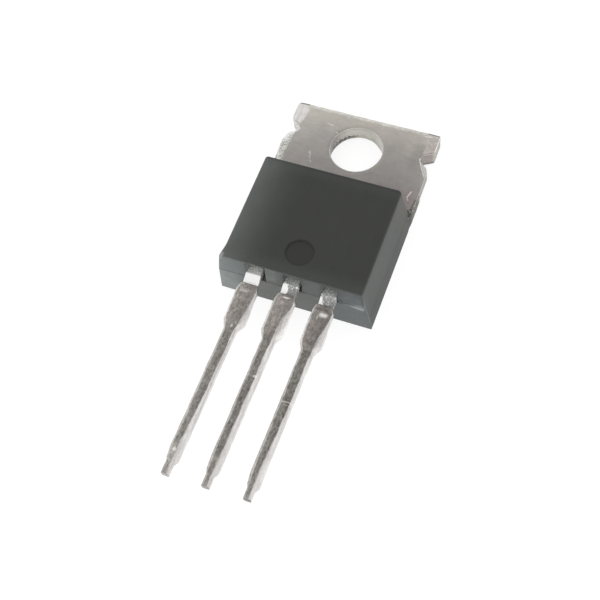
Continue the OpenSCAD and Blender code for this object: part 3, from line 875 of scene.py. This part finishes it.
def plate_material():
    g = Shader("nickel_on_copper", roughness=0.34, metallic=1.0)
    roll = g.noise(1.0, 4.0, 0.6, (1.3, 16.0, 1.0), seed=11.0)
    cloud = g.noise(0.8, 3.0, 0.55, seed=12.0)
    patch = g.noise(1.9, 2.0, 0.5, (0.8, 1.5, 1.0), seed=13.0)
    fine = g.noise(9.0, 3.0, 0.65, seed=14.0)
    speck = g.noise(5.2, 3.0, 0.6, seed=15.0)
    # heat tint: rosy by the case, grey in the middle, straw at the top
    yy = g.add(g.y, g.ramp(cloud, 0.3, 0.7, -0.8, 0.8, "LINEAR"))
    low = g.mix(g.ramp(yy, -3.6, -1.2), (0.690, 0.600, 0.590), (0.700, 0.665, 0.630))
    colour = g.mix(g.ramp(yy, 0.0, 2.4), low, (0.755, 0.712, 0.640))
    olive = g.mul(g.ramp(patch, 0.50, 0.66), g.ramp(g.x, 2.0, -2.5))
    colour = g.mix(g.mul(olive, 0.5), colour, (0.690, 0.690, 0.610))
    # painted shade: the plate darkens towards the case and to the right
    shade = g.mul(g.curve(g.add(g.y, g.ramp(cloud, 0.3, 0.7, -0.25, 0.25, "LINEAR")), (-4.0, 0.56), (-2.6, 0.62), (-1.8, 0.655), (-1.0, 0.715), (0.0, 0.80), (1.0, 0.86), (1.7, 0.96), (2.6, 1.0)),
                  g.curve(g.x, (-5.2, 1.16), (-4.4, 1.12), (-3.2, 1.03), (-1.5, 0.97), (1.5, 0.94), (3.0, 0.90), (4.0, 0.95), (4.6, 1.02), (5.2, 1.10)))
    shade = g.mul(shade, g.add(g.ramp(patch, 0.25, 0.75, 0.955, 1.045, "LINEAR"), g.ramp(cloud, 0.3, 0.7, -0.03, 0.03, "LINEAR")))
    colour = g.scale_colour(colour, shade)
    # painted shade over the plate beside the right notch
    colour = g.scale_colour(colour, g.ramp(g.mul(g.mul(g.ramp(g.x, 3.4, 4.1), g.ramp(g.y, -0.9, 0.2)), g.ramp(g.y, 1.9, 1.5)), 0.0, 1.0, 1.0, 0.85, "LINEAR"))
    # faint rolling lines catch the light here and there
    hair = g.ramp(g.noise(1.0, 5.0, 0.75, (0.35, 26.0, 1.0), seed=17.0), 0.60, 0.70)
    colour = g.scale_colour(colour, g.ramp(hair, 0.0, 1.0, 1.0, 1.10, "LINEAR"))
    colour = g.scale_colour(colour, g.add(g.ramp(roll, 0.3, 0.7, 0.955, 1.045, "LINEAR"), g.ramp(fine, 0.3, 0.7, -0.03, 0.03, "LINEAR")))
    # the rolled left edge: rosy and pale on the ear, pitted on the shoulder
    colour = g.mix(g.attr("earband"), colour, g.mix(g.ramp(g.noise(3.0, 3.0, 0.6, (2.4, 0.5, 1.0), seed=18.0), 0.38, 0.62), (0.660, 0.628, 0.606), (0.840, 0.808, 0.785)))
    # painted light on the inner part of the left ear's rolled band
    colour = g.mix(g.mul(g.mul(g.spot((-4.50, 2.30), 0.26, 0.55), g.attr("earband")), 0.7), colour, (0.900, 0.875, 0.850))
    pits = g.noise(9.5, 3.0, 0.6, seed=19.0)
    pitted = g.mix(g.ramp(pits, 0.38, 0.56), (0.380, 0.378, 0.345), (0.820, 0.820, 0.780))
    colour = g.mix(g.attr("shoulder"), colour, pitted)
    colour = g.mix(g.mul(g.attr("bent"), 0.8), colour, g.mix(g.ramp(g.x, -1.0, 1.0), g.mix(g.ramp(pits, 0.36, 0.58), (0.66, 0.66, 0.64), (0.86, 0.86, 0.85)), (0.50, 0.49, 0.465)))
    ear = g.mix(g.ramp(speck, 0.44, 0.60), (0.700, 0.640, 0.590), (0.850, 0.820, 0.780))
    colour = g.mix(g.mul(g.attr("earright"), 0.75), colour, ear)
    rust = g.math("MAXIMUM", g.spot((4.98, 1.42), 0.11, 0.22), g.math("MAXIMUM", g.spot((5.08, 1.20), 0.09), g.spot((4.80, 1.68), 0.08)))
    colour = g.mix(g.mul(rust, g.ramp(fine, 0.42, 0.58, 0.0, 0.6)), colour, (0.74, 0.46, 0.36))
    colour = g.mix(g.mul(g.attr("rim"), 0.8), colour, g.mix(g.ramp(speck, 0.44, 0.62), (0.720, 0.705, 0.645), (0.88, 0.87, 0.835)))
    # painted shade along the sharp edges of the notches, damping their highlight
    colour = g.scale_colour(colour, g.ramp(g.attr("notch_edge_shade"), 0.0, 1.0, 1.0, 0.55, "LINEAR"))
    # cut edges are bare, dull metal
    cut = g.mix(g.ramp(g.noise(3.2, 3.0, 0.6, (1.0, 1.0, 2.5), seed=16.0), 0.38, 0.62), (0.300, 0.262, 0.245), (0.460, 0.430, 0.400))
    cut = g.mix(g.ramp(g.x, 4.9, 5.15), cut, g.mix(g.ramp(fine, 0.38, 0.62), (0.370, 0.365, 0.330), (0.520, 0.515, 0.475)))
    # painted shade: the cut edges darken towards the floor
    cut = g.mix(g.ramp(g.z, 0.42, 0.06), cut, (0.105, 0.092, 0.088))
    # a grey flank under the right shoulder, with a dark dent in it
    cut = g.scale_colour(cut, g.ramp(g.mul(g.ramp(g.y, 0.75, 0.55), g.ramp(g.x, 4.3, 4.5)), 0.0, 1.0, 1.0, 0.80, "LINEAR"))
    cut = g.mix(g.mul(g.spot((5.06, -0.14), 0.16, 0.20), g.ramp(g.z, 1.12, 0.90)), cut, (0.13, 0.125, 0.115))
    # it is dirty beside the case and covered by resin further on
    dirty = g.mul(g.ramp(g.add(g.y, g.ramp(fine, 0.3, 0.7, -0.25, 0.25, "LINEAR")), -2.2, -3.2), g.ramp(g.x, 4.6, 4.9))
    cut = g.mix(dirty, cut, g.mix(g.ramp(pits, 0.40, 0.60), (0.085, 0.084, 0.074), (0.290, 0.285, 0.255)))
    cut = g.mix(g.mul(g.ramp(g.y, -3.70, -3.95), g.ramp(g.x, 4.6, 4.9)), cut, (0.060, 0.063, 0.060))
    # the notch in the right edge is light and rosy, the left one pale
    notch = g.mul(g.ramp(g.y, 0.80, 1.00), g.mul(g.ramp(g.x, 4.2, 4.4), g.ramp(g.x, 5.14, 5.05)))
    cut = g.mix(g.mul(notch, g.ramp(g.z, 0.18, 0.40)), cut, g.mix(g.ramp(fine, 0.38, 0.62), (0.330, 0.292, 0.282), (0.440, 0.398, 0.385)))
    cut = g.mix(g.ramp(g.x, -4.0, -4.3), cut, g.mix(g.ramp(pits, 0.38, 0.60), (0.52, 0.50, 0.48), (0.74, 0.72, 0.70)))
    colour = g.mix(g.attr("cut"), colour, cut)
    # painted light and shade across the hole's wall: dark at its left end, paler towards the right
    wall = g.mix(g.ramp(g.add(g.x, g.mul(g.y, -0.2)), 0.2, 1.3), g.mix(g.ramp(g.x, -1.8, 0.6), (0.410, 0.392, 0.370), (0.500, 0.490, 0.430)), (0.620, 0.610, 0.580))
    wall = g.scale_colour(wall, g.ramp(speck, 0.35, 0.65, 0.92, 1.08, "LINEAR"))
    wall = g.scale_colour(wall, g.curve(g.add(g.x, g.ramp(fine, 0.3, 0.7, -0.25, 0.25, "LINEAR")), (-1.95, 0.44), (-1.75, 0.60), (-1.55, 0.95), (-1.1, 1.22), (-0.6, 1.12), (0.2, 0.98), (1.0, 0.90), (1.9, 0.92)))
    torn = g.mul(g.ramp(g.add(g.z, g.add(g.ramp(speck, 0.3, 0.7, -0.12, 0.12, "LINEAR"), g.ramp(fine, 0.3, 0.7, -0.12, 0.12, "LINEAR"))), 0.58, 0.36), g.ramp(g.x, -0.2, -1.1, 0.20, 1.0))
    wall = g.mix(torn, wall, g.mix(g.ramp(fine, 0.40, 0.58), (0.09, 0.085, 0.075), (0.21, 0.20, 0.185)))
    colour = g.mix(g.attr("wall"), colour, wall)
    # a speckled dark band round the hole's upper-left rim, with painted shade there and along the rim's top edge that
    # damps its highlight
    ring = g.mul(g.attr("lip"), g.mul(g.ramp(pits, 0.40, 0.60), g.ramp(g.add(g.x, g.y), 0.8, -0.6)))
    colour = g.scale_colour(colour, g.ramp(ring, 0.0, 1.0, 1.0, 0.80, "LINEAR"))
    colour = g.scale_colour(colour, g.ramp(g.attr("hole_edge"), 0.0, 1.0, 1.0, 0.90, "LINEAR"))
    # light scratches and nicks, painted highlights on the right shoulder's edge, by the hole's rim and on a small
    # V-shaped dent, and painted shade along burrs at the two top corners and a groove by the case
    scratch_and_highlight_ticks = None
    for a, b, w in (((-3.02, -1.02), (-2.95, -1.24), 0.045), ((-2.93, -1.34), (-2.84, -1.58), 0.045), ((-3.12, -1.14), (-2.90, -1.22), 0.035),
                    ((-2.78, -1.74), (-2.68, -1.86), 0.04), ((-2.66, 1.56), (-2.44, 1.51), 0.045), ((-2.36, 1.50), (-2.18, 1.44), 0.04),
                    ((-1.78, 1.00), (-1.70, 0.92), 0.05),
                    ((4.66, -2.16), (4.50, -2.66), 0.055), ((4.50, -2.66), (4.62, -2.88), 0.05),
                    ((4.40, 0.52), (4.60, 0.05), 0.055), ((4.60, 0.05), (4.86, -0.38), 0.06), ((4.86, -0.38), (5.10, -0.82), 0.05),
                    ((4.22, 2.44), (4.62, 2.50), 0.07)):
        m = g.tick(a, b, w)
        scratch_and_highlight_ticks = m if scratch_and_highlight_ticks is None else g.math("MAXIMUM", scratch_and_highlight_ticks, m)
    faint = g.ramp(g.x, 3.9, 4.3, 0.42, 0.85, "LINEAR")
    colour = g.mix(g.mul(scratch_and_highlight_ticks, g.mul(faint, g.ramp(fine, 0.38, 0.58, 0.25, 1.0))), colour, (0.90, 0.885, 0.86))
    burr_shade = g.math("MAXIMUM", g.tick((-5.08, 2.72), (-4.42, 2.66), 0.07), g.tick((4.34, 2.70), (5.16, 2.70), 0.065))
    groove = g.math("MAXIMUM", g.tick((5.10, -2.72), (5.02, -3.40), 0.04), g.tick((5.02, -3.40), (5.17, -3.86), 0.045))
    burr_and_groove_shade = g.math("MAXIMUM", burr_shade, groove)
    strip = g.mul(g.ramp(g.y, -2.55, -2.85), g.mul(g.ramp(g.x, 5.02, 5.08), g.ramp(g.z, 1.10, 1.20)))
    colour = g.mix(g.mul(strip, 0.85), colour, g.mix(g.ramp(fine, 0.38, 0.60), (0.230, 0.222, 0.195), (0.430, 0.420, 0.385)))
    colour = g.mix(g.mul(g.ramp(g.y, -3.82, -3.96), g.ramp(g.x, 4.5, 4.8)), colour, (0.200, 0.198, 0.188))
    colour = g.mix(g.mul(burr_and_groove_shade, 0.85), colour, (0.090, 0.088, 0.080))
    rough = g.add(g.ramp(fine, 0.3, 0.7, 0.27, 0.37, "LINEAR"), g.mul(g.attr("cut"), 0.22))
    rough = g.add(rough, g.mul(g.attr("shoulder"), 0.12))
    rough = g.add(rough, g.mul(g.math("MAXIMUM", scratch_and_highlight_ticks, burr_and_groove_shade), 0.25))
    n = g.bump(roll, 0.0035)
    n = g.bump(fine, 0.0030, n)
    n = g.bump(g.mul(pits, g.attr("shoulder")), 0.016, n)
    n = g.bump(g.mul(scratch_and_highlight_ticks, -1.0), 0.006, n)
    return g, colour, rough, n


def lead_colour(g):
    """Tinned lead: bright worn edges with painted highlights on the wide part, a dark grainy top, bare tin by the case
    painted near white as its highlight, and thin resin at the mouth painted paler in the pocket's shade.
    """
    grain = g.noise(8.5, 4.0, 0.68, (1.0, 0.75, 1.0), seed=21.0)
    fine = g.noise(19.0, 2.0, 0.6, seed=22.0)
    long = g.noise(1.0, 3.0, 0.6, (5.0, 0.55, 1.0), seed=23.0)
    bright = g.mix(g.ramp(long, 0.36, 0.64), (0.560, 0.535, 0.520), (0.720, 0.700, 0.685))
    bright = g.scale_colour(bright, g.ramp(grain, 0.35, 0.62, 0.86, 1.08, "LINEAR"))
    bright = g.mix(g.attr("left"), bright, g.mix(g.ramp(grain, 0.40, 0.60), (0.400, 0.386, 0.365), (0.580, 0.565, 0.545)))
    # painted highlight along the left edges of the wide part
    bright = g.scale_colour(bright, g.ramp(g.mul(g.attr("left"), g.attr("wide")), 0.0, 1.0, 1.0, 1.35, "LINEAR"))
    side = g.mix(g.ramp(long, 0.40, 0.60), (0.620, 0.605, 0.585), (0.740, 0.725, 0.710))
    bright = g.mix(g.attr("side"), bright, side)
    # painted highlight along the middle lead's right edge on its wide part
    bright = g.scale_colour(bright, g.ramp(g.mul(g.attr("wide"), g.mul(g.ramp(g.x, 0.1, 0.3), g.ramp(g.x, 1.4, 1.2))), 0.0, 1.0, 1.0, 1.28, "LINEAR"))
    # the stain is browner and smoother on the wide part, specked and greyer below it
    narrow = g.mix(g.ramp(grain, 0.34, 0.66), (0.215, 0.202, 0.184), (0.475, 0.453, 0.422))
    narrow = g.scale_colour(narrow, g.ramp(g.noise(1.3, 2.0, 0.5, (1.0, 1.0, 1.0), seed=27.0), 0.3, 0.7, 0.90, 1.12, "LINEAR"))
    narrow = g.scale_colour(narrow, g.mul(g.ramp(g.x, -1.6, -1.2, 1.12, 1.0), g.ramp(g.attr("pale"), 0.0, 1.0, 1.0, 1.2, "LINEAR")))
    narrow = g.scale_colour(narrow, g.ramp(g.mul(g.attr("pale"), g.ramp(g.x, -1.2, -1.6)), 0.0, 1.0, 1.0, 1.30, "LINEAR"))
    wide = g.mix(g.ramp(grain, 0.34, 0.66), (0.290, 0.262, 0.236), (0.515, 0.474, 0.440))
    wide = g.scale_colour(wide, g.ramp(g.x, 1.2, 1.4, 1.10, 0.88))
    wide = g.scale_colour(wide, g.ramp(g.noise(2.3, 3.0, 0.6, (1.5, 0.8, 1.0), seed=28.0), 0.32, 0.68, 0.82, 1.18, "LINEAR"))
    wide = g.mix(g.mul(g.ramp(g.noise(15.0, 2.0, 0.6, seed=26.0), 0.55, 0.66), 0.25), wide, (0.62, 0.59, 0.56))
    face = g.mix(g.attr("wide"), narrow, wide)
    face = g.mix(g.mul(g.ramp(long, 0.54, 0.66), 0.35), face, (0.52, 0.49, 0.46))
    face = g.scale_colour(face, g.curve(g.attr("across"), (0.05, 1.20), (0.25, 1.12), (0.40, 1.02), (0.50, 0.92), (0.62, 0.86), (0.75, 0.86), (0.95, 0.95)))
    bright = g.scale_colour(bright, g.ramp(g.y, -25.1, -25.5, 1.0, 0.86))
    lead = g.mix(g.attr("face"), bright, face)
    lead = g.scale_colour(lead, g.ramp(fine, 0.3, 0.7, 0.93, 1.07, "LINEAR"))
    # pale spots where the tin ran, and a painted glint near the first lead's tip
    for centre, rx, ry, much in (((-2.51, -16.08), 0.09, 0.11, 0.9), ((-2.70, -24.66), 0.13, 0.13, 1.0), ((0.13, -18.84), 0.15, 0.10, 0.95), ((-0.10, -13.62), 0.17, 0.15, 0.45), ((-2.67, -13.50), 0.30, 0.16, 0.25),
                                 ((2.34, -13.91), 0.07, 0.18, 0.5), ((-0.15, -21.9), 0.07, 0.10, 0.5),
                                 ((-2.92, -13.12), 0.16, 0.04, 0.9), ((-2.70, -13.24), 0.10, 0.04, 0.7), ((-3.10, -13.27), 0.05, 0.08, 0.6),
                                 ((-0.45, -13.10), 0.12, 0.04, 0.5)):
        m = g.mul(g.spot(centre, rx, ry), g.ramp(fine, 0.35, 0.55, 0.55, 1.0))
        lead = g.mix(g.mul(m, much), lead, (0.90, 0.875, 0.85))
    # a pale crack across the third lead, darker just behind it
    crack = g.math("MAXIMUM", g.tick((2.26, -19.86), (2.56, -19.78), 0.045), g.tick((2.56, -19.78), (2.90, -19.82), 0.045))
    lead = g.mix(g.mul(g.tick((2.30, -19.68), (2.72, -19.64), 0.09), 0.45), lead, (0.20, 0.185, 0.17))
    lead = g.mix(g.mul(crack, 0.65), lead, (0.90, 0.87, 0.85))
    lead = g.mix(g.mul(g.tick((2.40, -20.00), (2.66, -20.02), 0.04), 0.4), lead, (0.85, 0.82, 0.80))
    # darker lines under the heads
    under = g.math("MAXIMUM", g.tick((-0.42, -13.06), (0.46, -13.04), 0.06), g.math("MAXIMUM", g.tick((2.10, -13.34), (2.80, -13.30), 0.10), g.tick((-2.90, -13.74), (-2.30, -13.66), 0.09)))
    lead = g.scale_colour(lead, g.ramp(g.mul(under, g.attr("face")), 0.0, 1.0, 1.0, 0.78, "LINEAR"))
    # bare tin by the case, bright of itself and painted near white as a painted highlight
    tin = g.mix(g.ramp(grain, 0.35, 0.55), (0.930, 0.927, 0.920), (0.99, 0.988, 0.984))
    lead = g.mix(g.attr("tin"), lead, tin)
    # the bar: dull and rosy on the first lead, bright on the others
    lead = g.mix(g.attr("bar"), lead, g.mix(g.ramp(g.x, -1.5, -1.0), (0.640, 0.575, 0.545), (0.93, 0.91, 0.88)))
    # thin resin crust, pale of itself and painted paler still where the pockets shade it, most on the first lead
    resin = g.mix(g.ramp(g.noise(13.0, 3.0, 0.65, seed=24.0), 0.38, 0.62), (0.240, 0.245, 0.236), (0.560, 0.568, 0.548))
    resin = g.scale_colour(resin, g.ramp(g.x, -1.6, -1.2, 1.40, 1.0))
    resin = g.scale_colour(resin, g.ramp(g.mul(g.ramp(g.y, -12.36, -12.50), g.ramp(g.x, -1.6, -1.2)), 0.0, 1.0, 1.0, 0.74, "LINEAR"))
    lead = g.mix(g.attr("flash"), lead, resin)
    crumb = g.mul(g.attr("crumb"), g.ramp(g.noise(8.0, 2.0, 0.55, seed=25.0), 0.53, 0.58))
    lead = g.mix(crumb, lead, (0.93, 0.93, 0.92))
    # the cut tips: bare sheared metal, with painted shade over it that hides the floor's reflection, lightest on the
    # first lead and darkest on the third
    lead = g.mix(g.mul(g.attr("end"), g.mul(g.ramp(fine, 0.3, 0.6, 0.80, 1.0), g.curve(g.x, (-2.0, 0.45), (-1.0, 0.70), (1.0, 0.75), (2.0, 1.0)))), lead, (0.17, 0.16, 0.15))
    rough = g.add(g.ramp(grain, 0.3, 0.7, 0.26, 0.40, "LINEAR"), g.mul(g.attr("face"), 0.06))
    rough = g.add(rough, g.mul(g.attr("flash"), 0.25))
    rough = g.add(rough, g.mul(g.attr("tin"), 0.10))
    n = g.bump(grain, 0.010)
    n = g.bump(fine, 0.0025, n)
    n = g.bump(g.mul(long, g.attr("face")), 0.006, n)
    # bare tin, worn bars, nicks and the painted glint near the first lead's tip scatter light, and resin isn't metal
    metal = g.ramp(g.attr("flash"), 0.0, 1.0, 1.0, 0.15, "LINEAR")
    dull = g.math("MAXIMUM", g.math("MAXIMUM", g.mul(g.attr("tin"), 0.2), g.mul(g.spot((-2.70, -24.66), 0.13), 0.6)), g.mul(g.attr("bar"), g.ramp(g.x, -1.5, -1.0, 0.0, 0.6)))
    metal = g.mul(metal, g.ramp(g.math("MAXIMUM", dull, g.mul(crack, 0.4)), 0.0, 1.0, 1.0, 0.0, "LINEAR"))
    return lead, rough, n, metal


def lead_material():
    g = Shader("tinned_lead", roughness=0.32, metallic=1.0)
    return g.finish(*lead_colour(g))


def leadframe_material():
    g, colour, rough, n = plate_material()
    lc, lr, ln, lm = lead_colour(g)
    far = g.ramp(g.y, -11.2, -11.4, 0.0, 1.0)
    colour = g.mix(far, colour, lc)
    rough = g.add(g.mul(rough, g.ramp(far, 0.0, 1.0, 1.0, 0.0, "LINEAR")), g.mul(lr, far))
    m = g.nt.nodes.new("ShaderNodeMix")
    m.data_type = "VECTOR"
    g.put(m.inputs["Factor"], far)
    g.put([i for i in m.inputs if i.name == "A" and i.type == "VECTOR"][0], n)
    g.put([i for i in m.inputs if i.name == "B" and i.type == "VECTOR"][0], ln)
    n = [o for o in m.outputs if o.type == "VECTOR"][0]
    return g.finish(colour, rough, n, g.mul(lm, g.ramp(g.attr("earband"), 0.0, 1.0, 1.0, 0.65, "LINEAR")))


def silicon_material():
    g = Shader("silicon_die_grey", roughness=0.22, metallic=0.0, specular=0.8)
    cells = g.noise(6.0, 2.0, 0.5, (1.0, 3.0, 1.0), seed=31.0)
    cloud = g.noise(1.2, 3.0, 0.5, seed=32.0)
    top = g.ramp(g.z, 1.55, 1.59)
    colour = g.mix(g.ramp(cloud, 0.3, 0.7), (0.115, 0.115, 0.130), (0.165, 0.160, 0.180))
    colour = g.mix(g.mul(top, 0.8), colour, g.mix(g.ramp(cells, 0.4, 0.6), (0.50, 0.50, 0.51), (0.62, 0.62, 0.63)))
    rough = g.ramp(cells, 0.3, 0.7, 0.18, 0.34, "LINEAR")
    return g.finish(colour, rough, g.bump(cells, 0.004), g.mul(top, 0.85))


def solder_material():
    g = Shader("die_solder", roughness=0.4, metallic=1.0)
    lumps = g.noise(3.0, 3.0, 0.6, seed=33.0)
    fine = g.noise(16.0, 2.0, 0.5, seed=34.0)
    colour = g.mix(g.ramp(lumps, 0.35, 0.65), (0.42, 0.41, 0.40), (0.62, 0.61, 0.60))
    rough = g.ramp(fine, 0.3, 0.7, 0.34, 0.52, "LINEAR")
    return g.finish(colour, rough, g.bump(lumps, 0.012))


def wire_material():
    g = Shader("drawn_aluminium", roughness=0.28, metallic=1.0)
    draw = g.noise(2.0, 3.0, 0.6, (14.0, 1.0, 14.0), seed=35.0)
    fine = g.noise(22.0, 2.0, 0.5, seed=36.0)
    colour = g.mix(g.ramp(draw, 0.35, 0.65), (0.74, 0.74, 0.74), (0.86, 0.86, 0.87))
    rough = g.ramp(fine, 0.3, 0.7, 0.22, 0.36, "LINEAR")
    return g.finish(colour, rough, g.bump(draw, 0.003))


def dress(ob, mat):
    if ob.material_slots:
        for slot in ob.material_slots:
            slot.material = mat
    else:
        ob.data.materials.append(mat)


case = build_case()
gate = build_lead("gate_lead", LEAD_FORM[0])
source = build_lead("source_lead", LEAD_FORM[2])
plate = build_frame()
dress(case, epoxy_material())
tinned = lead_material()
dress(gate, tinned)
dress(source, tinned)
dress(plate, leadframe_material())
dress(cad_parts["silicon_die"], silicon_material())
dress(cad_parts["die_attach_solder"], solder_material())
wire = wire_material()
for name in ("gate_bond_wire", "source_bond_wire_1", "source_bond_wire_2"):
    dress(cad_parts[name], wire)

# ---------------------------------------------------------------------------
# floor and light
# ---------------------------------------------------------------------------


def build_stage():
    me = bpy.data.meshes.new("floor")
    r = 0.6
    me.from_pydata([(-r, -r, 0), (r, -r, 0), (r, r, 0), (-r, r, 0)], [], [(0, 1, 2, 3)])
    ob = bpy.data.objects.new("floor", me)
    scene.collection.objects.link(ob)
    m = bpy.data.materials.new("floor_paper")
    m.use_nodes = True
    b = m.node_tree.nodes["Principled BSDF"]
    b.inputs["Base Color"].default_value = (0.30, 0.30, 0.30, 1)
    b.inputs["Roughness"].default_value = 0.9
    b.inputs["Specular IOR Level"].default_value = 0.1
    b.inputs["Emission Color"].default_value = (1, 1, 1, 1)
    b.inputs["Emission Strength"].default_value = 0.80
    me.materials.append(m)

    w = bpy.data.worlds.new("studio")
    w.use_nodes = True
    nt = w.node_tree
    nt.nodes.clear()
    out = nt.nodes.new("ShaderNodeOutputWorld")
    bg = nt.nodes.new("ShaderNodeBackground")
    tc = nt.nodes.new("ShaderNodeTexCoord")
    dot = nt.nodes.new("ShaderNodeVectorMath")
    dot.operation = "DOT_PRODUCT"
    dot.inputs[1].default_value = (-0.120, 0.330, 0.936)
    nt.links.new(tc.outputs["Generated"], dot.inputs[0])
    # a darker patch high over the bench, with the light coming from all round it
    ramp = nt.nodes.new("ShaderNodeValToRGB")
    ramp.color_ramp.interpolation = "EASE"
    stops = ((0.0, 1.15), (0.5, 1.15), (0.80, 1.00), (0.93, 0.66), (0.985, 0.40), (1.0, 0.32))
    while len(ramp.color_ramp.elements) < len(stops):
        ramp.color_ramp.elements.new(0.5)
    for e, (pos, val) in zip(ramp.color_ramp.elements, stops):
        e.position = pos
        e.color = (val / 2, val / 2, val / 2, 1)
    nt.links.new(dot.outputs["Value"], ramp.inputs["Fac"])
    nt.links.new(ramp.outputs["Color"], bg.inputs["Color"])
    bg.inputs["Strength"].default_value = 2.0
    nt.links.new(bg.outputs[0], out.inputs[0])
    scene.world = w


build_stage()
scene.view_settings.view_transform = "Standard"
scene.view_settings.look = "None"
